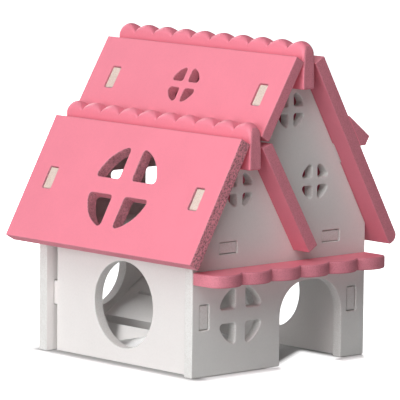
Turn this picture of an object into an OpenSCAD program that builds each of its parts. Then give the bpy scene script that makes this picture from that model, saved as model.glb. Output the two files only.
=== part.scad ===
/* Two-storey house for a mouse or a dwarf hamster, put together from flat
   boards: upright front and back panels with two gables each, side walls,
   an attic floor, a ramp, three roof boards and a short trim, two scalloped
   ridge boards, a scalloped awning over the door and a side canopy.
   Boards meet with tenons in slots. Millimetres, +Z up, front towards -Y.
   Origin: the middle of the outer box, on the ground. */

/* [House] */
// Width of the front and back panels
panel_w = 123.6; // [121.6:0.2:126]
// Outside distance between the front and back panels
house_d = 120; // [116:1:126]
// Thickness of the panels and walls
board_t = 6; // [5:0.5:7]
// Height of the attic floor's underside
floor_z = 62.8; // [61.5:0.1:63.5]
// Thickness of the attic floor
floor_t = 5.5; // [5:0.1:6]
// Play of a tenon in its slot, on each side
slot_play = 0.35; // [0.3:0.05:0.5]
// Length of every tenon
tenon_len = 12; // [10:0.5:12.5]
// How far a tenon's end lies below the face around its slot
tenon_recess = 0.5; // [0:0.1:1]

/* [Roof] */
// Thickness of the lower left roof board and the eave trim
roof_t = 6.6; // [6:0.1:7]
// Thickness of the upper left roof board
upper_t = 6; // [5.5:0.1:6.5]
// Thickness of the right roof board
right_t = 7; // [6:0.1:7.5]
// Rounding of the right roof's lower outer edge
eave_r = 4; // [2:0.5:5]
// Pitch of the two outermost slopes, in degrees
slope_out = 60.5; // [60:0.1:61]
// Pitch of the two inner slopes, in degrees
slope_in = 58.5; // [58:0.1:59]
// How far the roof reaches past the front and back panels
overhang = 12; // [10:0.5:14]
// Thickness of the upright ridge boards
ridge_t = 8; // [7:0.5:9]
// Middle of the upper ridge, sideways
upper_ridge_x = 7.3; // [6:0.1:8]
// Middle of the lower ridge, sideways
lower_ridge_x = -29.85; // [-31:0.05:-29]
// Spacing of the lobes along a ridge board
lobe_pitch = 14.74; // [14.2:0.02:15]
// Height of a ridge lobe above the notches beside it
lobe_h = 4; // [3.5:0.25:4.5]

/* [Openings] */
// Width of the front door
door_w = 44.2; // [38:0.2:45]
// Height of the front door
door_h = 43.6; // [38:0.2:44]
// Radius of the door's top corners
door_r = 18; // [10:1:18]
// Radius of the round entrance in the left wall
left_hole_r = 22.8; // [18:0.2:23]
// Radius of the round entrance in the right wall
right_hole_r = 21.2; // [18:0.2:23]
// Radius of the round entrance in the back panel
back_hole_r = 20.8; // [17:0.2:21]

/* [Ramp] */
// Width of the ramp
ramp_w = 40; // [34:1:42]
// Thickness of the ramp
ramp_t = 5.8; // [5:0.2:6.4]
// Width of each foothold slot in the ramp
foothold_w = 2.6; // [2:0.2:4]

/* [Awning] */
// Depth of the awning at the front of its lobes
awning_d = 19.6; // [18:0.2:21]
// Thickness of the awning
awning_t = 6.5; // [6:0.1:7]
// Height of the awning's top face
awning_z = 54.9; // [53:0.1:56]

/* [Hidden] */
$fn = 64;

white = [0.93, 0.92, 0.90];
pink = [0.98, 0.56, 0.64];

hw = panel_w / 2;
y_front = -overhang;
y_back = house_d + overhang;
// The roof boards end a little behind the ridge boards
ll_back = y_back + 1;
ul_back = y_back + 2.6;
floor_top = floor_z + floor_t;

// In-plane direction down a left-hand slope, and its outward normal
function l_dir(a) = [-cos(a), -sin(a)];
function l_nrm(a) = [-sin(a), cos(a)];
// The same for a right-hand slope
function r_dir(a) = [cos(a), -sin(a)];
function r_nrm(a) = [sin(a), cos(a)];

// Lower left roof: its inner top edge touches the lower ridge's left face
ll_top = [lower_ridge_x - ridge_t / 2, 119.63];
ll_len = 70.9;
// Upper left roof: its upper end is bevelled against the upper ridge's left
// face, and its lower end meets the lower ridge's right face
ul_top = [upper_ridge_x - ridge_t / 2, 159.26];
ul_len = (ul_top[0] - upper_t * sin(slope_in) - (lower_ridge_x + ridge_t / 2) - 0.05) / cos(slope_in);
ul_up = 0.45;
// Right roof
rr_top = [upper_ridge_x + ridge_t / 2 + 0.56, 158.505];
rr_len = 114.1;
// Trim: a short board in the slope that is missing between the gables, cut
// nearly level at its upper end
tr_top = [lower_ridge_x + ridge_t / 2 + 0.75, 117.2];
tr_len = 66.4;
trim_a = 59;
trim_t = 6.8;
trim_cut = 1.8;

// Height of a panel's slopes at a sideways place
function ll_z(x) = ll_top[1] + (x - ll_top[0]) * tan(slope_out);
function ul_z(x) = ul_top[1] + (x - ul_top[0]) * tan(slope_in);
function rr_z(x) = rr_top[1] - (x - rr_top[0]) * tan(slope_out);
function tr_z(x) = tr_top[1] - (x - tr_top[0]) * tan(trim_a);
function ll_x(z) = ll_top[0] + (z - ll_top[1]) / tan(slope_out);
function ul_x(z) = ul_top[0] + (z - ul_top[1]) / tan(slope_in);
function rr_x(z) = rr_top[0] - (z - rr_top[1]) / tan(slope_out);

// Valley between the gables, and the flat tops where the ridge boards sit
valley_x = (tr_top[1] + tr_top[0] * tan(trim_a) - ul_top[1] + ul_top[0] * tan(slope_in))
           / (tan(trim_a) + tan(slope_in));
lower_seat = ul_z(valley_x);
upper_seat = 155.6;

// Walls
left_wall_x = -hw + 5.5;
right_wall_x = hw - 6.6 - board_t;
wall_tenon_z = 24.6;
wall_tenon_h = tenon_len + 0.6;
floor_tenon_x = [-37, 36.5];

// Ramp: top face runs up to the right at this slope
ramp_a = 32.7;
ramp_x0 = -21;
ramp_z0 = 15.7;
ramp_x1 = right_wall_x - 0.2;
ramp_y1 = house_d - board_t;
ramp_y0 = ramp_y1 - ramp_w;

// Ridge heights
upper_ridge_top = 169.95;
upper_ridge_leg = 145.2;
lower_ridge_top = 130.3;
lower_ridge_leg = 106.1;
lobe_r = (pow(lobe_pitch / 2, 2) + pow(lobe_h, 2)) / (2 * lobe_h);
ridge_end_r = 6;

// Awning lobes
aw_n = 6;
aw_pitch = panel_w / aw_n;
aw_notch = 4.6;
aw_r = (pow(aw_pitch / 2, 2) + pow(aw_notch, 2)) / (2 * aw_notch);
aw_end_r = 6;

// Outer box, for the origin
x_lo = ll_top[0] + roof_t * l_nrm(slope_out)[0] + ll_len * l_dir(slope_out)[0];
x_hi = rr_top[0] + (right_t - eave_r) * r_nrm(slope_out)[0]
       + (rr_len - eave_r) * r_dir(slope_out)[0] + eave_r;
y_lo = -awning_d;
y_hi = ul_back;

module placed() {
    translate([-(x_lo + x_hi) / 2, -(y_lo + y_hi) / 2, 0]) children();
}

// An upright outline (x, z) made into a board from y to y + t
module upright(y, t) {
    translate([0, y + t, 0]) rotate([90, 0, 0]) linear_extrude(t) children();
}

// A cross window: a round hole divided by an upright bar bv wide and a level
// bar bh wide into four quarters with rounded corners. The corner circles
// are a hair too big, so that they cross the sides and the rim cleanly.
module quarter(r, bv, bh, c) {
    cc = c + 0.005;
    px = bv / 2 + c;
    py = bh / 2 + c;
    yt = sqrt(pow(r - c, 2) - px * px);
    xt = sqrt(pow(r - c, 2) - py * py);
    a1 = atan2(yt, px);
    a2 = atan2(py, xt);
    t1 = r * [cos(a1), sin(a1)];
    t2 = r * [cos(a2), sin(a2)];
    polygon([[bv / 2, py], [bv / 2, yt], t1, t2, [xt, bh / 2], [px, bh / 2]]);
    translate([px, py]) circle(cc);
    translate([px, yt]) circle(cc);
    translate([xt, py]) circle(cc);
    intersection() {
        circle(r);
        polygon([t1, 2 * t1, 2 * t2, t2]);
    }
}
module cross_window(r, bv, bh, c) {
    for (mx = [0, 1], mz = [0, 1])
        mirror([mx, 0]) mirror([0, mz]) quarter(r, bv, bh, c);
}

// A slot with rounded corners, centred
module slot(w, h, c) {
    square([w - 2 * c, h], center = true);
    square([w, h - 2 * c], center = true);
    for (sx = [-1, 1], sy = [-1, 1])
        translate([sx * (w / 2 - c), sy * (h / 2 - c)]) circle(c);
}

// Corners of a tenon that stands on a slope and passes into the slot of the
// roof board there, from its upper corner round to its lower one
function slope_tenon(top, len, t, dir, nrm) =
    let (p = top + dir * (len - tenon_len) / 2,
         q = top + dir * (len + tenon_len) / 2,
         h = t - tenon_recess)
    [p, p + nrm * h, q + nrm * h, q];
function reversed(v) = [for (i = [len(v) - 1 : -1 : 0]) v[i]];

// Outline shared by the front and back panels: two gables with a tenon on
// each roofed slope
module gables() {
    polygon(concat(
        [[-hw, 0], [hw, 0], [hw, rr_z(hw)]],
        reversed(slope_tenon(rr_top, rr_len, right_t, r_dir(slope_out), r_nrm(slope_out))),
        [[rr_x(upper_seat), upper_seat], [ul_x(upper_seat), upper_seat]],
        slope_tenon(ul_top, ul_len, upper_t, l_dir(slope_in), l_nrm(slope_in)),
        [[valley_x, lower_seat], [ll_x(lower_seat), lower_seat]],
        slope_tenon(ll_top, ll_len, roof_t, l_dir(slope_out), l_nrm(slope_out)),
        [[-hw, ll_z(-hw)]]));
}

// Slots in both panels for the walls and the attic floor
module panel_slots() {
    for (x = [left_wall_x + board_t / 2, right_wall_x + board_t / 2])
        translate([x, wall_tenon_z + wall_tenon_h / 2])
            slot(board_t + 2 * slot_play, wall_tenon_h + 2 * slot_play, 0.9);
    for (x = floor_tenon_x)
        translate([x, floor_z + floor_t / 2])
            slot(tenon_len + 2 * slot_play, floor_t + 2 * slot_play, 0.9);
}

module front_panel() {
    color(white) placed() upright(0, board_t) difference() {
        gables();
        panel_slots();
        // door
        translate([22.4, 0]) {
            translate([-door_w / 2, -1]) square([door_w, door_h - door_r + 1]);
            translate([-door_w / 2 + door_r, 0]) square([door_w - 2 * door_r, door_h]);
            for (s = [-1, 1])
                translate([s * (door_w / 2 - door_r), door_h - door_r]) circle(door_r);
        }
        // windows
        translate([-27.9, 29.9]) cross_window(15.4, 7, 7.4, 1.8);
        translate([-29.2, 95]) cross_window(9.4, 4, 4, 1.5);
        translate([6.4, 133.6]) cross_window(9.5, 4, 3.6, 1.5);
        translate([24.2, 95.2]) cross_window(9.7, 4, 4, 1.5);
    }
}

module back_panel() {
    color(white) placed() difference() {
        upright(house_d - board_t, board_t) difference() {
            gables();
            panel_slots();
            translate([-26.3, 41.3]) circle(back_hole_r);
            translate([4, 97]) cross_window(22, 8.4, 8.4, 2.5);
        }
        ramp_tenons(slot_play, board_t + 1);
    }
}

// A wall outline (y, z) stood up across the house at x
module wall_board(x) {
    translate([x, 0, 0]) rotate([90, 0, 90]) linear_extrude(board_t) children();
}
module wall_outline(back_gap) {
    translate([board_t, 0]) square([house_d - 2 * board_t - back_gap, floor_z]);
    translate([tenon_recess, wall_tenon_z])
        square([house_d - 2 * tenon_recess, wall_tenon_h]);
}

module left_wall() {
    color(white) placed() wall_board(left_wall_x) difference() {
        wall_outline(2);
        translate([59, 30.8]) circle(left_hole_r);
    }
}

module right_wall() {
    color(white) placed() wall_board(right_wall_x) difference() {
        wall_outline(2);
        translate([58, 30.6]) circle(right_hole_r);
    }
}

module attic_floor() {
    color(white) placed() translate([0, 0, floor_z]) linear_extrude(floor_t) difference() {
        union() {
            translate([left_wall_x, board_t])
                square([right_wall_x + board_t - left_wall_x, house_d - 2 * board_t]);
            for (x = floor_tenon_x)
                translate([x - tenon_len / 2, tenon_recess])
                    square([tenon_len, house_d - 2 * tenon_recess]);
        }
        // way up from the ramp
        translate([26, ramp_y0 + ramp_w / 2 - 4]) slot(37, ramp_w - 6, 4);
    }
}

// Places along the ramp's slope, counted from its lower end
ramp_slope_l = (ramp_x1 - ramp_x0) / cos(ramp_a);
ramp_tenon_s = [27.5, 61];
module ramp_frame() {
    translate([ramp_x0, 0, ramp_z0]) rotate([0, -ramp_a, 0]) children();
}
module ramp_tenons(play, out) {
    for (s = ramp_tenon_s)
        ramp_frame()
            translate([s - tenon_len / 2 - play, ramp_y1 - 1, -ramp_t - play])
                cube([tenon_len + 2 * play, 1 + out, ramp_t + 2 * play]);
}

module ramp() {
    color(white) placed() {
        difference() {
            union() {
                ramp_frame() translate([0, ramp_y0, -ramp_t]) cube([ramp_slope_l + 8, ramp_w, ramp_t]);
                ramp_tenons(0, board_t - tenon_recess);
            }
            // upper end cut upright against the right wall
            translate([ramp_x1, ramp_y0 - 1, 0]) cube([30, ramp_w + 2, 100]);
            // footholds
            for (s = [19.5 : 20 : 62])
                ramp_frame() translate([s, ramp_y0 + ramp_w / 2 - 12, -ramp_t - 1])
                    cube([foothold_w, 24, ramp_t + 2]);
        }
    }
}

// The frame of a sloping board whose inner top edge is at top in the (x, z)
// section: x down the slope, y along the house, z outwards
module slope_frame(top, a, side) {
    translate([top[0], 0, top[1]])
        mirror([side < 0 ? 1 : 0, 0, 0]) rotate([0, a, 0]) children();
}

// A roof board's face (down the slope, along the house) from up above its
// inner top edge, with its slots over both panels
module roof_face(len, back, up) {
    difference() {
        translate([-up, y_front]) square([len + up, back - y_front]);
        for (y = [board_t / 2, house_d - board_t / 2])
            translate([len / 2, y])
                slot(tenon_len + 2 * slot_play, board_t + 2 * slot_play, 1.1);
    }
}

module lower_left_roof() {
    color(pink) placed() slope_frame(ll_top, slope_out, -1)
        linear_extrude(roof_t) difference() {
            roof_face(ll_len, ll_back, 0);
            translate([ll_len / 2, house_d / 2]) cross_window(23.4, 9.2, 9.8, 2);
        }
}

module upper_left_roof() {
    color(pink) placed() slope_frame(ul_top, slope_in, -1) intersection() {
        translate([0, 0, -1]) linear_extrude(upper_t + 2) difference() {
            roof_face(ul_len, ul_back, ul_up + 1);
            translate([ul_len / 2 - 0.45, house_d / 2 + 1]) cross_window(10.4, 3.95, 3.9, 1.6);
        }
        // section with the bevel along the ridge board
        translate([0, ul_back + 1, 0]) rotate([90, 0, 0]) linear_extrude(ul_back - y_front + 2)
            polygon([[0.05, 0], [ul_len + 1, 0], [ul_len + 1, upper_t], [-ul_up, upper_t],
                     [-ul_up, (ul_up + 0.05) / tan(slope_in)]]);
    }
}

// Section of the right roof board with its lower edge rounded
module eave_section() {
    ri = 1.5;
    polygon([[-1, 0], [rr_len - ri, 0], [rr_len, ri], [rr_len, right_t - eave_r],
             [rr_len - eave_r, right_t], [-1, right_t]]);
    translate([rr_len - ri, ri]) circle(ri);
    intersection() {
        translate([rr_len - eave_r, right_t - eave_r]) circle(eave_r);
        translate([rr_len - eave_r, 0]) square([eave_r, right_t]);
    }
}

module right_roof() {
    color(pink) placed() slope_frame(rr_top, slope_out, 1) intersection() {
        translate([0, 0, -1]) linear_extrude(right_t + 2) {
            roof_face(rr_len, ul_back, 0);
            translate([rr_len - 1, y_front]) square([3, ul_back - y_front]);
        }
        translate([0, ul_back + 1, 0]) rotate([90, 0, 0])
            linear_extrude(ul_back - y_front + 2) eave_section();
    }
}

// A short board in the lower gable's inner slope, glued on the front panel
module front_roof_trim() {
    d = r_dir(trim_a);
    n = r_nrm(trim_a) * trim_t;
    color(pink) placed() upright(-overhang, overhang)
        polygon([tr_top, tr_top + d * tr_len, tr_top + d * tr_len + n, tr_top + d * trim_cut + n]);
}

// Outline of a ridge board (y, z): eight full lobes and two end lobes, which
// are rounded off into the ends, over a straight foot with two slots from
// below, which straddle the panels. The end roundings are a hair too big, so
// that they cross the end lobes and the end faces cleanly.
module ridge_outline(top, leg, seat) {
    n = 8;
    mid = house_d / 2;
    zc = top - lobe_r;
    notch = top - lobe_h;
    y0 = mid - n / 2 * lobe_pitch;
    // the end rounding touches the end face and the end lobe's arc
    ye = y0 - lobe_pitch / 2;
    yf = y_front + ridge_end_r;
    zf = zc + sqrt(pow(lobe_r - ridge_end_r, 2) - pow(ye - yf, 2));
    tp = [ye, zc] + [yf - ye, zf - zc] * lobe_r / (lobe_r - ridge_end_r);
    g = 0.1;
    foot = [for (y = [0, house_d - board_t])
            each [[y - g, leg], [y - g, seat], [y + board_t + g, seat], [y + board_t + g, leg]]];
    polygon(concat([[y_front, leg]], foot,
                   [[y_back, leg], [y_back, zf], [house_d - tp[0], tp[1]]],
                   [for (i = [n : -1 : 0]) [y0 + i * lobe_pitch, notch - 0.3]],
                   [tp, [y_front, zf]]));
    for (i = [0 : n - 1])
        intersection() {
            translate([y0 + (i + 0.5) * lobe_pitch, zc]) circle(lobe_r);
            translate([y0 + i * lobe_pitch, notch - 1]) square([lobe_pitch, lobe_h + 2]);
        }
    for (m = [0, 1])
        translate([m * house_d, 0]) mirror([m, 0]) {
            intersection() {
                translate([yf, zf]) circle(ridge_end_r + 0.005);
                polygon([[y_front - 1, zf - 1], [tp[0] + 1, zf - 1],
                         [tp[0] + 1, zf + ridge_end_r + 1], [y_front - 1, zf + ridge_end_r + 1]]);
            }
            intersection() {
                translate([ye, zc]) circle(lobe_r);
                polygon([[tp[0], notch - 1], [y0, notch - 1], [y0, top + 1], [tp[0], top + 1]]);
            }
        }
}

module ridge_board(x, top, leg, seat) {
    translate([x - ridge_t / 2, 0, 0]) rotate([90, 0, 90]) linear_extrude(ridge_t)
        ridge_outline(top, leg, seat);
}

module lower_ridge() {
    color(pink) placed() ridge_board(lower_ridge_x, lower_ridge_top, lower_ridge_leg, lower_seat);
}

module upper_ridge() {
    color(pink) placed() ridge_board(upper_ridge_x, upper_ridge_top, upper_ridge_leg, upper_seat);
}

// Awning outline (x, y) with six lobes towards the front
module awning_outline() {
    yc = -awning_d + aw_r;
    yn = -awning_d + aw_notch;
    // where the end rounding meets the end lobe
    ex = -hw + aw_pitch / 2;
    fx = -hw + aw_end_r;
    fy = yc - sqrt(pow(aw_r - aw_end_r, 2) - pow(ex - fx, 2));
    u = [fx - ex, fy - yc] / (aw_r - aw_end_r);
    tp = [ex, yc] + u * aw_r;
    polygon(concat([[-hw, 0], [-hw, fy], tp],
                   [for (i = [1 : aw_n - 1]) [-hw + i * aw_pitch, yn + 0.3]],
                   [[-tp[0], tp[1]], [hw, fy], [hw, 0]]));
    for (i = [1 : aw_n - 2])
        intersection() {
            translate([-hw + (i + 0.5) * aw_pitch, yc]) circle(aw_r);
            translate([-hw + i * aw_pitch, -awning_d - 1]) square([aw_pitch, aw_notch + 1.5]);
        }
    for (m = [0, 1])
        mirror([m, 0]) {
            translate([fx, fy]) circle(aw_end_r + 0.005);
            intersection() {
                translate([ex, yc]) circle(aw_r);
                polygon([[tp[0], -awning_d - 1], [-hw + aw_pitch, -awning_d - 1],
                         [-hw + aw_pitch, yn + 0.5], [tp[0], yn + 0.5]]);
            }
        }
}

module front_awning() {
    color(pink) placed() translate([0, 0, awning_z - awning_t])
        linear_extrude(awning_t) awning_outline();
}

// A narrow board glued by its bevelled edge to the right roof's outer face
module side_canopy() {
    v0 = 35.7;
    v1 = 55.7;
    o = rr_top + r_nrm(slope_out) * (right_t + 0.02);
    p0 = o + r_dir(slope_out) * v0;
    p1 = o + r_dir(slope_out) * v1;
    color(pink) placed() upright(y_front, y_back - y_front)
        polygon([p0, p1, [p0[0] + 13.55, p1[1]], p0 + [16.47, -12.75]]);
}

front_panel();
back_panel();
left_wall();
right_wall();
attic_floor();
ramp();
lower_left_roof();
upper_left_roof();
right_roof();
front_roof_trim();
lower_ridge();
upper_ridge();
front_awning();
side_canopy();
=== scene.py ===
import math

import bmesh
import bpy
from mathutils import Matrix, Vector
from mathutils.geometry import delaunay_2d_cdt


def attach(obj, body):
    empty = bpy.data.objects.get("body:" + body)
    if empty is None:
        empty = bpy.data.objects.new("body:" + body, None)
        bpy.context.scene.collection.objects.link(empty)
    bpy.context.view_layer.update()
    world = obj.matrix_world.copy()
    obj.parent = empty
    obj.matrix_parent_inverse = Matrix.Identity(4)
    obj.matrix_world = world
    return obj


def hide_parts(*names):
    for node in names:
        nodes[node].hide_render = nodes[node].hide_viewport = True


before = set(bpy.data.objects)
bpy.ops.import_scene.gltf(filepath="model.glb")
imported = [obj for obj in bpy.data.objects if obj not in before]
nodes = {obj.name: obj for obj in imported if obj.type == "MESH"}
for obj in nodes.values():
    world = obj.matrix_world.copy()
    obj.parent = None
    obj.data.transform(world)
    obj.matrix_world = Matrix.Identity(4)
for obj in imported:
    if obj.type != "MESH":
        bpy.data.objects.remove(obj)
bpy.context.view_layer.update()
MM = 0.001
# build coordinates (x from the middle of the front panel, y from its outer face) to the frame's
DX, DY = 0.910138, -57.5

# ---------------------------------------------------------------- camera
AZ, EL, ROLL = math.radians(-42.682), math.radians(7.376), math.radians(0.621)
fwd = Vector((-math.sin(AZ) * math.cos(EL), math.cos(AZ) * math.cos(EL), -math.sin(EL)))
right = fwd.cross(Vector((0, 0, 1))).normalized()
up = right.cross(fwd)
cam_x = right * math.cos(ROLL) + up * math.sin(ROLL)
cam_y = up * math.cos(ROLL) - right * math.sin(ROLL)
cam_data = bpy.data.cameras.new("camera")
cam_data.sensor_width = 36.0
cam_data.lens = 4118.6 * 36.0 / 400.0
cam_data.clip_start = 0.05
cam_data.clip_end = 30.0
camera = bpy.data.objects.new("camera", cam_data)
bpy.context.scene.collection.objects.link(camera)
rot = Matrix((cam_x, cam_y, -fwd)).transposed()
camera.matrix_world = Matrix.Translation(Vector((-1.463069, -1.58297, 0.36050))) @ rot.to_4x4()
bpy.context.scene.camera = camera


# ---------------------------------------------------------------- materials
def new_material(name):
    m = bpy.data.materials.new(name)
    m.use_nodes = True
    nt = m.node_tree
    nt.nodes.clear()
    out = nt.nodes.new("ShaderNodeOutputMaterial")
    bsdf = nt.nodes.new("ShaderNodeBsdfPrincipled")
    nt.links.new(bsdf.outputs["BSDF"], out.inputs["Surface"])
    return m, nt, bsdf


def noise(nt, coords, scale, detail=3.0, rough=0.5, stretch=None):
    n = nt.nodes.new("ShaderNodeTexNoise")
    n.inputs["Scale"].default_value = scale
    n.inputs["Detail"].default_value = detail
    n.inputs["Roughness"].default_value = rough
    source = coords
    if stretch is not None:
        mp = nt.nodes.new("ShaderNodeMapping")
        mp.inputs["Scale"].default_value = stretch
        nt.links.new(coords, mp.inputs["Vector"])
        source = mp.outputs["Vector"]
    nt.links.new(source, n.inputs["Vector"])
    return n.outputs["Fac"]


def ramp(nt, fac, stops):
    r = nt.nodes.new("ShaderNodeValToRGB")
    els = r.color_ramp.elements
    while len(els) < len(stops):
        els.new(0.5)
    for e, (pos, col) in zip(els, stops):
        e.position = pos
        e.color = (*col, 1.0)
    nt.links.new(fac, r.inputs["Fac"])
    return r.outputs["Color"]


def mix(nt, fac, a, b, mode="MIX"):
    m = nt.nodes.new("ShaderNodeMix")
    m.data_type = "RGBA"
    m.blend_type = mode
    if isinstance(fac, float):
        m.inputs[0].default_value = fac
    else:
        nt.links.new(fac, m.inputs[0])
    for sock, val in ((m.inputs[6], a), (m.inputs[7], b)):
        if isinstance(val, tuple):
            sock.default_value = (*val, 1.0)
        else:
            nt.links.new(val, sock)
    return m.outputs[2]


def bump(nt, bsdf, parts):
    """Stacks bumps: parts are (height output, strength, distance in metres)."""
    normal = None
    for height, strength, dist in parts:
        b = nt.nodes.new("ShaderNodeBump")
        b.inputs["Strength"].default_value = strength
        b.inputs["Distance"].default_value = dist
        nt.links.new(height, b.inputs["Height"])
        if normal is not None:
            nt.links.new(normal, b.inputs["Normal"])
        normal = b.outputs["Normal"]
    nt.links.new(normal, bsdf.inputs["Normal"])


def coords_of(nt):
    tc = nt.nodes.new("ShaderNodeTexCoord")
    return tc.outputs["Object"]


def paint(name, light, dark, rough, peel=0.10, grain=0.0, cloud=0.5):
    """Sprayed paint on board: a faint cloudiness, a fine orange peel and a little fibre."""
    m, nt, bsdf = new_material(name)
    co = coords_of(nt)
    big = noise(nt, co, 45.0, 3.0, 0.55)
    col = ramp(nt, big, [(0.5 - 0.5 * cloud, dark), (0.5 + 0.5 * cloud, light)])
    fine = noise(nt, co, 900.0, 2.0, 0.6)
    col = mix(nt, ramp(nt, fine, [(0.42, (0.0,) * 3), (0.72, (0.09 + grain,) * 3)]), col,
              tuple(c * 0.72 for c in dark))
    nt.links.new(col, bsdf.inputs["Base Color"])
    bsdf.inputs["Roughness"].default_value = rough
    bsdf.inputs["Specular IOR Level"].default_value = 0.35
    bump(nt, bsdf, [(noise(nt, co, 700.0, 2.0, 0.5), peel, 0.0002),
                    (noise(nt, co, 2600.0, 2.0, 0.6), peel * 0.6, 0.0001)])
    return m


def cut_edge(name, light, mid, dark, rough, depth=0.35, fine=1500.0, speckle=0.6):
    """The saw-cut side of a painted fibreboard: paint soaked into open fibres, so it is patchy and speckled."""
    m, nt, bsdf = new_material(name)
    co = coords_of(nt)
    patch = noise(nt, co, 160.0, 4.0, 0.6)
    speck = noise(nt, co, fine, 3.0, 0.7)
    base = ramp(nt, patch, [(0.35, mid), (0.65, light)])
    col = mix(nt, ramp(nt, speck, [(0.44, (0.0,) * 3), (0.66, (speckle,) * 3)]), base, dark)
    nt.links.new(col, bsdf.inputs["Base Color"])
    bsdf.inputs["Roughness"].default_value = rough
    bsdf.inputs["Specular IOR Level"].default_value = 0.25
    bump(nt, bsdf, [(speck, depth, 0.00025), (noise(nt, co, 520.0, 3.0, 0.6), depth * 0.7, 0.0004)])
    return m


PINK = (0.955, 0.272, 0.360)
# the cut sides' own duller pink, made less red and less saturated as painted shade with a painted reflection of white
# surroundings on shaded faces
PINK_CUT_AND_SHADE = (0.80, 0.275, 0.345)
WHITE = (0.875, 0.85, 0.835)
# painted light: the front panel's white is less red than the other boards, cancelling the pink bounce light from the
# awning and roof
WHITE_FRONT_BOUNCE_CANCEL = (0.845, 0.85, 0.83)


def tone(c, k):
    return tuple(min(1.0, v * k) for v in c)


pink_face = paint("pink_paint", tone(PINK, 1.02), tone(PINK, 0.97), 0.48)
# painted shade: a darker copy of the pink paint for faces turned down or away from the light
pink_under_painted_shade = paint("pink_paint_underside_painted_shade", tone(PINK, 0.77), tone(PINK, 0.71), 0.55)
# the cut sides' own speckle; on the trim, canopy and ridge fronts this duller pink is painted shade with a painted
# reflection of white surroundings
pink_edge_and_shade = cut_edge("pink_cut_edge_and_painted_shade", PINK_CUT_AND_SHADE, tone(PINK_CUT_AND_SHADE, 0.93), (0.58, 0.17, 0.22), 0.62, 0.12)
pink_saw = cut_edge("pink_saw_cut", (0.76, 0.31, 0.37), (0.58, 0.23, 0.28), (0.20, 0.09, 0.11), 0.75, 0.9, 950.0)
pink_saw_end = cut_edge("pink_saw_cut_end", (0.93, 0.35, 0.42), (0.76, 0.27, 0.33), (0.15, 0.08, 0.09), 0.75, 0.9, 880.0, 0.85)
white_face = paint("white_paint", tone(WHITE, 1.01), tone(WHITE, 0.98), 0.42)
front_face_bounce_cancel = paint("white_paint_front_bounce_cancel", tone(WHITE_FRONT_BOUNCE_CANCEL, 1.01), tone(WHITE_FRONT_BOUNCE_CANCEL, 0.98), 0.42)
white_edge = cut_edge("white_cut_edge", (0.86, 0.862, 0.845), (0.83, 0.832, 0.815), (0.70, 0.67, 0.64), 0.6, 0.12)
cream_end = cut_edge("tenon_end", (0.86, 0.72, 0.64), (0.80, 0.66, 0.58), (0.60, 0.42, 0.36), 0.7, 0.25)


# ---------------------------------------------------------------- board meshes
def face_loops(node, n):
    """Outlines of a node's outermost flat face along n, with the material on their left, as lists of Vectors."""
    bm = bmesh.new()
    bm.from_mesh(nodes[node].data)
    bmesh.ops.remove_doubles(bm, verts=bm.verts, dist=2e-7)
    bm.normal_update()
    top = max(v.co.dot(n) for v in bm.verts)
    low = min(v.co.dot(n) for v in bm.verts)
    faces = {f for f in bm.faces
             if f.normal.dot(n) > 0.99 and all(v.co.dot(n) > top - 2e-5 for v in f.verts)}
    nxt = {}
    for f in faces:
        for lp in f.loops:
            if sum(1 for g in lp.edge.link_faces if g in faces) == 1:
                nxt.setdefault(lp.vert, []).append(lp.link_loop_next.vert)
    loops = []
    while nxt:
        start = next(iter(nxt))
        v, pts = start, []
        while v in nxt:
            pts.append(v.co.copy())
            w = nxt[v].pop()
            if not nxt[v]:
                del nxt[v]
            v = w
        loops.append(pts)
    bm.free()
    return loops, top, low


def axes_of(n):
    u = Vector((0, 1, 0)) if abs(n.y) < 0.9 else Vector((1, 0, 0))
    u = (u - n * u.dot(n)).normalized()
    return u, n.cross(u)


def clean(pts):
    """Drops points on straight stretches and near doubles."""
    out = []
    n = len(pts)
    keep = []
    for i, p in enumerate(pts):
        if (p - pts[i - 1]).length > 4e-6:
            keep.append(p)
    n = len(keep)
    for i, p in enumerate(keep):
        a, b = p - keep[i - 1], keep[(i + 1) % n] - p
        turn = math.atan2(a.x * b.y - a.y * b.x, a.dot(b))
        if abs(turn) > math.radians(0.15):
            out.append(p)
    return out


def fillet(pts, r, notch=0.0, least=22.0, seg=4):
    """Rounds the convex corners of a 2D outline whose material is on its left, and its notches with their own radius."""
    out = []
    n = len(pts)
    for i, p in enumerate(pts):
        a, b = p - pts[i - 1], pts[(i + 1) % n] - p
        turn = math.atan2(a.x * b.y - a.y * b.x, a.dot(b))
        side = 1 if turn > 0 else -1
        want = r if turn > 0 else notch
        if abs(turn) < math.radians(least) or want <= 0.0:
            out.append(p)
            continue
        half = math.tan(abs(turn) / 2)
        t = min(want * half, 0.45 * a.length, 0.45 * b.length)
        a = a.normalized()
        c = p - a * t + Vector((-a.y, a.x)) * (side * t / half)
        s = p - a * t - c
        steps = seg if turn > 0 else 2 * seg
        for k in range(steps + 1):
            w = turn * k / steps
            out.append(c + Vector((s.x * math.cos(w) - s.y * math.sin(w),
                                   s.x * math.sin(w) + s.y * math.cos(w))))
    return out


def split(pts, direction, values):
    """Adds a point wherever a side of the outline crosses one of the given heights along a direction."""
    out = []
    n = len(pts)
    for i, p in enumerate(pts):
        q = pts[(i + 1) % n]
        out.append(p)
        hp, hq = p.dot(direction), q.dot(direction)
        cut = sorted((h - hp) / (hq - hp) for h in values if min(hp, hq) + 1e-5 < h < max(hp, hq) - 1e-5)
        out.extend(p.lerp(q, c) for c in cut)
    return out


def miters(pts):
    """For each point the step that moves it one unit into the material."""
    out = []
    n = len(pts)
    for i, p in enumerate(pts):
        a, b = (p - pts[i - 1]).normalized(), (pts[(i + 1) % n] - p).normalized()
        na, nb = Vector((-a.y, a.x)), Vector((-b.y, b.x))
        m = (na + nb) / max(0.35, 1.0 + na.dot(nb))
        out.append(m)
    return out


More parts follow.
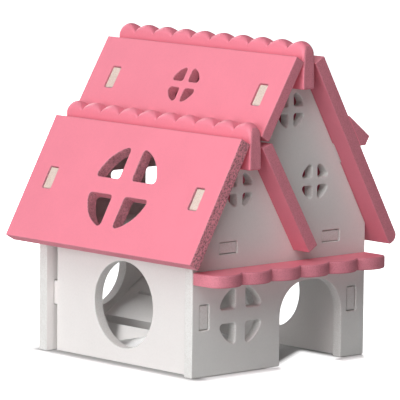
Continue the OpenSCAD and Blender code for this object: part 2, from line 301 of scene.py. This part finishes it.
def round_inset(d, r):
    """How far an edge rounded with radius r stands back at depth d below the face."""
    return 0.0 if d >= r else r - math.sqrt(max(0.0, r * r - (r - d) ** 2))


def within(p, loops):
    """Whether a point lies in the material between the outlines."""
    odd = False
    for lp in loops:
        for i, b in enumerate(lp):
            a = lp[i - 1]
            if (a.y > p.y) != (b.y > p.y) and p.x < a.x + (p.y - a.y) * (b.x - a.x) / (b.y - a.y):
                odd = not odd
    return odd


def cap(bm, rings, u, v):
    """Fills the flat face between an outline and the outlines of its holes."""
    verts = [w for ring in rings for w in ring]
    flat = [Vector((w.co.dot(u), w.co.dot(v))) * 1000.0 for w in verts]
    loops, edges = [], []
    for ring in rings:
        first = sum(len(x) for x in loops)
        k = len(ring)
        loops.append(flat[first:first + k])
        edges += [(first + i, first + (i + 1) % k) for i in range(k)]
    made = delaunay_2d_cdt(flat, edges, [], 0, 1e-7)
    area = 0.0
    for tri in made[2]:
        a, b, c = (made[0][i] for i in tri)
        if within((a + b + c) / 3.0, loops):
            ids = [made[3][i][0] for i in tri]
            try:
                f = bm.faces.new([verts[i] for i in ids])
            except ValueError:
                continue
            f.smooth = True
            f.material_index = 0
            area += abs((b - a).cross(c - a)) / 2.0
    want = abs(sum(sum(lp[i - 1].cross(p) for i, p in enumerate(lp)) / 2.0 for lp in loops))
    assert abs(area - want) < 0.05, (area, want)


def smooth(k):
    k = min(1.0, max(0.0, k))
    return k * k * (3 - 2 * k)


def board(name, node, n, r=0.0003, corner=0.0004, notch=0.0, materials=(),
          edge_of=None, face_of=None, end=None, seg=3):
    """A flat board with softly rounded rims, on the outline of a CAD node. r is the rims' radius, or
    (height, radius, top radius): above the height the rim opens to the top radius where the outline faces up,
    and closes again towards the notches between lobes. edge_of(mid, normal) picks a side face's material.
    end is (axis, limit, outer radius, inner radius): a big rounding at the outline's far end."""
    n = Vector(n).normalized()
    u, v = axes_of(n)
    loops3, top, low = face_loops(node, n)
    swell = isinstance(r, tuple)
    upward = Vector((u.z, v.z))

    def radius(p, m, notches):
        if not swell:
            return r
        z0, r0, r1 = r
        lift = smooth((p.dot(upward) - z0) / 0.008)
        faces_up = max(0.0, -m.normalized().dot(upward))
        near = min([(p - q).length for q in notches] or [1.0])
        return r0 + (r1 - r0) * lift * (0.25 + 0.75 * faces_up) * (0.12 + 0.88 * smooth(near / 0.0065))

    loops, turns = [], []
    for lp in loops3:
        pts = clean([Vector((p.dot(u), p.dot(v))) for p in lp])
        if len(pts) >= 3:
            turns.append([])
            for i, q in enumerate(pts):
                a, b = q - pts[i - 1], pts[(i + 1) % len(pts)] - q
                if swell and q.dot(upward) > r[0] and math.atan2(a.x * b.y - a.y * b.x, a.dot(b)) < -0.35:
                    turns[-1].append(q)
            pts = fillet(pts, corner, notch)
            if swell:
                pts = split(pts, upward, [r[0] + 0.008 * k / 6 for k in range(7)])
            if end:
                ax = Vector((Vector(end[0]).dot(u), Vector(end[0]).dot(v)))
                far = max(p.dot(ax) for p in pts)
                if end[1] - far < 0.006:
                    pts = [p + ax * (end[1] - far) if p.dot(ax) > far - 0.002 else p for p in pts]
            loops.append(pts)
    t = top - low
    depths = {0.0, t}
    for rr in (r[1], 0.5 * (r[1] + r[2]), r[2]) if swell else (r,):
        for k in range(seg + 1):
            th = math.pi / 2 * k / seg
            depths |= {rr * (1 - math.sin(th)), t - rr * (1 - math.sin(th))}
    if end:
        for k in range(9):
            th = math.pi / 2 * k / 8
            depths.add(end[2] * (1 - math.sin(th)))
            depths.add(t - end[3] * (1 - math.sin(th)))
    ds = []
    for d in sorted(depths):
        if not ds or d - ds[-1] > 2e-6:
            ds.append(d)
    bm = bmesh.new()
    rings = []
    for lp, notches in zip(loops, turns):
        ms = miters(lp)
        rs = [radius(p, m, notches) for p, m in zip(lp, ms)]
        cols = []
        for d in ds:
            ring = []
            for p, m, rp in zip(lp, ms, rs):
                ins = max(round_inset(d, rp), round_inset(t - d, rp))
                q = p + m * ins
                if end:
                    axis, limit, ro, ri = end
                    ax = Vector((Vector(axis).dot(u), Vector(axis).dot(v)))
                    if p.dot(ax) > limit - corner * 1.05:
                        deep = max(round_inset(d, ro), round_inset(t - d, ri))
                        q = q - ax * max(0.0, deep - ins)
                ring.append(bm.verts.new(u * q.x + v * q.y + n * (top - d)))
            cols.append(ring)
        rings.append(cols)
    for cols in rings:
        for a, b in zip(cols, cols[1:]):
            k = len(a)
            for i in range(k):
                j = (i + 1) % k
                try:
                    f = bm.faces.new((a[i], b[i], b[j], a[j]))
                except ValueError:
                    continue
                f.smooth = True
                f.material_index = 1
    for which in (0, -1):
        cap(bm, [cols[which] for cols in rings], u, v)
    bmesh.ops.recalc_face_normals(bm, faces=bm.faces)
    bm.normal_update()
    for f in bm.faces:
        mid = f.calc_center_median() / MM - Vector((DX, DY, 0))
        if f.material_index == 1 and edge_of:
            f.material_index = edge_of(mid, f.normal)
        elif f.material_index == 0 and face_of:
            f.material_index = face_of(mid, f.normal)
    for e in bm.edges:
        if len(e.link_faces) == 2 and e.calc_face_angle(0.0) > math.radians(38):
            e.smooth = False
    me = bpy.data.meshes.new(name)
    bm.to_mesh(me)
    bm.free()
    for m in materials:
        me.materials.append(m)
    o = bpy.data.objects.new(name, me)
    bpy.context.scene.collection.objects.link(o)
    w = o.modifiers.new("weighted_normals", "WEIGHTED_NORMAL")
    w.keep_sharp = True
    w.weight = 80
    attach(o, "root")
    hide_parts(node)
    return o


# ---------------------------------------------------------------- the house
S_OUT, S_IN = math.radians(60.5), math.radians(58.5)


def slope_normal(a, side):
    return Vector((side * math.sin(a), 0, math.cos(a)))


# planes just below the tenons' ends, as (normal, least height along it), in mm
TENON_PLANES = [
    (slope_normal(S_OUT, -1), Vector((-33.85, 0, 119.63)).dot(slope_normal(S_OUT, -1)) + 5.9),
    (slope_normal(S_IN, -1), Vector((3.3, 0, 159.26)).dot(slope_normal(S_IN, -1)) + 5.3),
    (slope_normal(S_OUT, 1), Vector((11.86, 0, 158.505)).dot(slope_normal(S_OUT, 1)) + 6.2),
]


def panel_edge(mid, normal):
    for pn, least in TENON_PLANES:
        if mid.dot(pn) > least and normal.dot(pn) > 0.5:
            return 2
    return 1


white_set = (white_face, white_edge, cream_end)
front_set = (front_face_bounce_cancel, white_edge, cream_end)
pink_set = (pink_face, pink_edge_and_shade, pink_saw, pink_under_painted_shade, pink_saw_end)

board("front_panel_board", "front_panel", (0, -1, 0), r=0.0006, corner=0.0008, materials=front_set,
      edge_of=panel_edge)
board("back_panel_board", "back_panel", (0, 1, 0), r=0.0003, corner=0.0005, materials=white_set,
      edge_of=panel_edge)
board("left_wall_board", "left_wall", (-1, 0, 0), r=0.0005, corner=0.0007, materials=white_set)
board("right_wall_board", "right_wall", (1, 0, 0), r=0.0005, corner=0.0007, materials=white_set)
board("attic_floor_board", "attic_floor", (0, 0, 1), r=0.0004, corner=0.0006, materials=white_set)


front_end = min(v.co.y for v in nodes["lower_left_roof"].data.vertices)


def front_saw(mid, normal):
    if normal.y < -0.7 and mid.y < front_end + 0.002:
        return 4
    return 2 if normal.y < -0.15 else 1


board("lower_left_roof_board", "lower_left_roof", slope_normal(S_OUT, -1), materials=pink_set,
      edge_of=front_saw)
board("upper_left_roof_board", "upper_left_roof", slope_normal(S_IN, -1), materials=pink_set)
down_right = Vector((math.cos(S_OUT), 0, -math.sin(S_OUT)))
rr_limit = max(v.co.dot(down_right) for v in nodes["right_roof"].data.vertices)
# painted shade: the right roof's underside takes the darker pink copy
board("right_roof_board", "right_roof", slope_normal(S_OUT, 1), materials=pink_set,
      end=(down_right, rr_limit, 0.004, 0.0015), face_of=lambda mid, normal: 3 if normal.z < 0 else 0)


# painted shade: the trim's side turned away from the light takes the darker pink copy
def trim_side(mid, normal):
    across = normal.dot(slope_normal(S_IN, 1))
    return 0 if across > 0.9 else 3 if across < -0.9 else 1


def ridge_end(mid, normal):
    return 1 if normal.y < -0.8 else 0


# painted shade: the trim's front and back faces take the duller pink used for shaded faces
board("front_roof_trim_board", "front_roof_trim", (0, -1, 0), materials=pink_set,
      edge_of=trim_side, face_of=lambda mid, normal: 1)
board("lower_ridge_board", "lower_ridge", (-1, 0, 0), r=(0.115, 0.0009, 0.0038), corner=0.0012,
      notch=0.0008, seg=6, materials=pink_set, edge_of=ridge_end)
board("upper_ridge_board", "upper_ridge", (-1, 0, 0), r=(0.1545, 0.0009, 0.0036), corner=0.0012,
      notch=0.0008, seg=6, materials=pink_set, edge_of=ridge_end)
board("front_awning_board", "front_awning", (0, 0, 1), r=0.0008, corner=0.0010, notch=0.0006, seg=4, materials=pink_set)
# painted shade: the canopy's broad faces take the duller pink used for shaded faces
board("side_canopy_board", "side_canopy", (0, -1, 0), materials=pink_set,
      edge_of=lambda mid, normal: 0, face_of=lambda mid, normal: 1)

ramp_node = nodes["ramp"]
ramp_node.data.materials.clear()
ramp_node.data.materials.append(white_face)

# ---------------------------------------------------------------- floor and light
S = 6.0


def floor_plane(name, z, material):
    me = bpy.data.meshes.new(name)
    me.from_pydata([(-S, -S, z), (S, -S, z), (S, S, z), (-S, S, z)], [], [(0, 1, 2, 3)])
    me.materials.append(material)
    o = bpy.data.objects.new(name, me)
    bpy.context.scene.collection.objects.link(o)
    return o


# the floor that the camera sees glows a little away from the house, so that it is white there
fm, fnt, fb = new_material("floor_white")
fb.inputs["Base Color"].default_value = (0.86, 0.86, 0.86, 1.0)
fb.inputs["Roughness"].default_value = 0.8
fb.inputs["Specular IOR Level"].default_value = 0.1
fb.inputs["Emission Color"].default_value = (1.0, 1.0, 1.0, 1.0)
geo = coords_of(fnt)


def vmath(nt, op, a, b=None):
    m = nt.nodes.new("ShaderNodeVectorMath")
    m.operation = op
    for sock, val in zip(m.inputs, (a, b)):
        if val is None:
            continue
        if isinstance(val, tuple):
            sock.default_value = val
        else:
            nt.links.new(val, sock)
    return m.outputs["Value"] if op in ("LENGTH", "DISTANCE", "DOT_PRODUCT") else m.outputs["Vector"]


def math_node(nt, op, a, b=None):
    m = nt.nodes.new("ShaderNodeMath")
    m.operation = op
    for sock, val in zip(m.inputs, (a, b)):
        if isinstance(val, float):
            sock.default_value = val
        elif val is not None:
            nt.links.new(val, sock)
    return m.outputs["Value"]


def step(nt, value, lo, hi, out_lo=0.0, out_hi=1.0):
    m = nt.nodes.new("ShaderNodeMapRange")
    m.interpolation_type = "SMOOTHSTEP"
    for key, val in (("From Min", lo), ("From Max", hi), ("To Min", out_lo), ("To Max", out_hi)):
        m.inputs[key].default_value = val
    nt.links.new(value, m.inputs["Value"])
    return m.outputs["Result"], m


place = vmath(fnt, "SUBTRACT", geo, (DX * MM, DY * MM, 0.0))
inside = vmath(fnt, "ABSOLUTE", vmath(fnt, "SUBTRACT", place, (0.0, 0.060, 0.0)))
beyond = vmath(fnt, "LENGTH", vmath(fnt, "MULTIPLY", vmath(fnt, "MAXIMUM", vmath(fnt, "SUBTRACT", inside,
                                                                                 (0.0580, 0.0600, 0.0)),
                                                           (0.0, 0.0, 0.0)), (1.0, 1.0, 0.0)))
# painted shadow: the glow is weak next to the house, so the floor shows a contact shadow there
away, glow = step(fnt, beyond, 0.0, 0.019, 0.05, 1.3)
# the light that comes in through the door and the left entrance lies on the ground in bands
flat_dot = vmath(fnt, "DOT_PRODUCT", place, (0.514, -0.857, 0.0))
by_door, _m = step(fnt, flat_dot, -0.0066, 0.0002)
far_side, _m = step(fnt, flat_dot, -0.0985, -0.0925)
near_side, _m = step(fnt, flat_dot, -0.0600, -0.0540)
by_hole = math_node(fnt, "SUBTRACT", far_side, near_side)
split_xyz = fnt.nodes.new("ShaderNodeSeparateXYZ")
fnt.links.new(place, split_xyz.inputs["Vector"])
behind_front, _m = step(fnt, split_xyz.outputs["Y"], -0.0015, 0.0005)
past_jamb = vmath(fnt, "DOT_PRODUCT", place, (1.0, -0.927, 0.0))
left_jamb, _m = step(fnt, past_jamb, -0.002, 0.004)
right_jamb, _m = step(fnt, split_xyz.outputs["X"], 0.036, 0.042)
by_wall, _m = step(fnt, split_xyz.outputs["X"], 0.040, 0.0495, 1.0, 0.0)
doorway = math_node(fnt, "MAXIMUM", behind_front, math_node(fnt, "SUBTRACT", left_jamb, right_jamb))
by_door = math_node(fnt, "MULTIPLY", math_node(fnt, "MULTIPLY", by_door, doorway), by_wall)
flank = vmath(fnt, "LENGTH", vmath(fnt, "MULTIPLY", place, (1.0, 0.0, 0.0)))
between, _m = step(fnt, flank, 0.050, 0.056, 1.0, 0.0)
by_hole = math_node(fnt, "MULTIPLY", by_hole, between)
indoors = math_node(fnt, "MAXIMUM", by_door, math_node(fnt, "MULTIPLY", by_hole, 0.6))
# painted light: the floor glows fully past the right end and the front-right corner, washing out the shadows there
right_of_it, _m = step(fnt, split_xyz.outputs["X"], 0.0605, 0.0630, 0.0, 1.3)
by_corner, _m = step(fnt, past_jamb, 0.0600, 0.0640, 0.0, 1.3)
away = math_node(fnt, "MAXIMUM", away, math_node(fnt, "MAXIMUM", right_of_it, by_corner))
# painted shade: the floor is darker just inside the door, and where it meets the left wall
front_room, _m = step(fnt, split_xyz.outputs["Y"], 0.035, 0.060, 1.0, 0.0)
past_front, _m = step(fnt, split_xyz.outputs["Y"], 0.0, 0.003)
in_room = math_node(fnt, "MULTIPLY", math_node(fnt, "MULTIPLY", front_room, past_front), between)
at_left, _m = step(fnt, split_xyz.outputs["X"], -0.0575, -0.0520, 1.0, 0.0)
close_by, _m = step(fnt, beyond, 0.0, 0.010, 1.0, 0.0)
shade = math_node(fnt, "MAXIMUM", in_room, math_node(fnt, "MULTIPLY", at_left, close_by))
fnt.links.new(math_node(fnt, "SUBTRACT", 0.86, math_node(fnt, "MULTIPLY", shade, 0.47)), fb.inputs["Base Color"])
fnt.links.new(math_node(fnt, "MAXIMUM", away, indoors), fb.inputs["Emission Strength"])
floor = floor_plane("floor", -0.0002, fm)
floor.visible_diffuse = False
floor.visible_glossy = False
floor.visible_shadow = False

# the floor that gives its light back to the house
bm_, bnt, bb = new_material("floor_bounce")
bb.inputs["Base Color"].default_value = (0.7, 0.7, 0.7, 1.0)
bb.inputs["Roughness"].default_value = 0.9
bb.inputs["Specular IOR Level"].default_value = 0.0
bounce = floor_plane("floor_bounce", -0.0003, bm_)
bounce.visible_camera = False


def area(name, direction, size, energy, dist=1.2, target=(0.0, 0.0, 0.075), color=(1.0, 1.0, 1.0)):
    d = Vector(direction).normalized()
    ld = bpy.data.lights.new(name, "AREA")
    ld.shape = "DISK"
    ld.size = size
    ld.energy = energy
    ld.color = color
    o = bpy.data.objects.new(name, ld)
    o.location = Vector(target) + d * dist
    o.rotation_mode = "QUATERNION"
    o.rotation_quaternion = d.to_track_quat("Z", "Y")
    bpy.context.scene.collection.objects.link(o)
    return o


LIGHTS = [
    ("key_low", (-1.0, -0.15, 0.1), 0.9, 6.5),
    ("key_left", (-1.0, 0.0, 0.12), 0.9, 2.3),
    ("key_front", (-0.7, -0.5, 0.8), 0.9, 7.8),
    ("front_low", (-0.8, -0.6, 0.08), 0.9, 1.0),
    ("side_right", (1.0, 0.0, 0.4), 0.9, 1.6),
    ("back", (0.2, 1.0, 0.4), 0.9, 8.5),
]
for light_name, light_dir, light_size, light_energy in LIGHTS:
    area(light_name, light_dir, light_size, light_energy)

# a small light under the ramp, for the brightness that the left entrance shows there
inner = bpy.data.lights.new("inner_fill", "SPOT")
inner.energy = 0.2
inner.spot_size = math.radians(26.0)
inner.spot_blend = 0.6
inner.shadow_soft_size = 0.001
inner_at = Vector(((12.0 + DX) * MM, (30.0 + DY) * MM, 0.010))
inner_to = Vector(((6.0 + DX) * MM, (114.0 + DY) * MM, 0.003))
inner_lamp = bpy.data.objects.new("inner_fill", inner)
inner_lamp.location = inner_at
inner_lamp.rotation_mode = "QUATERNION"
inner_lamp.rotation_quaternion = (inner_at - inner_to).to_track_quat("Z", "Y")
inner_lamp.visible_camera = False
bpy.context.scene.collection.objects.link(inner_lamp)

world = bpy.data.worlds.new("studio")
world.use_nodes = True
world.node_tree.nodes["Background"].inputs["Color"].default_value = (1.0, 1.0, 1.0, 1.0)
world.node_tree.nodes["Background"].inputs["Strength"].default_value = 0.0
bpy.context.scene.world = world
bpy.context.scene.view_settings.view_transform = "Standard"
bpy.context.scene.view_settings.look = "None"
bpy.context.scene.view_settings.exposure = 0.0
bpy.context.scene.view_settings.gamma = 1.0
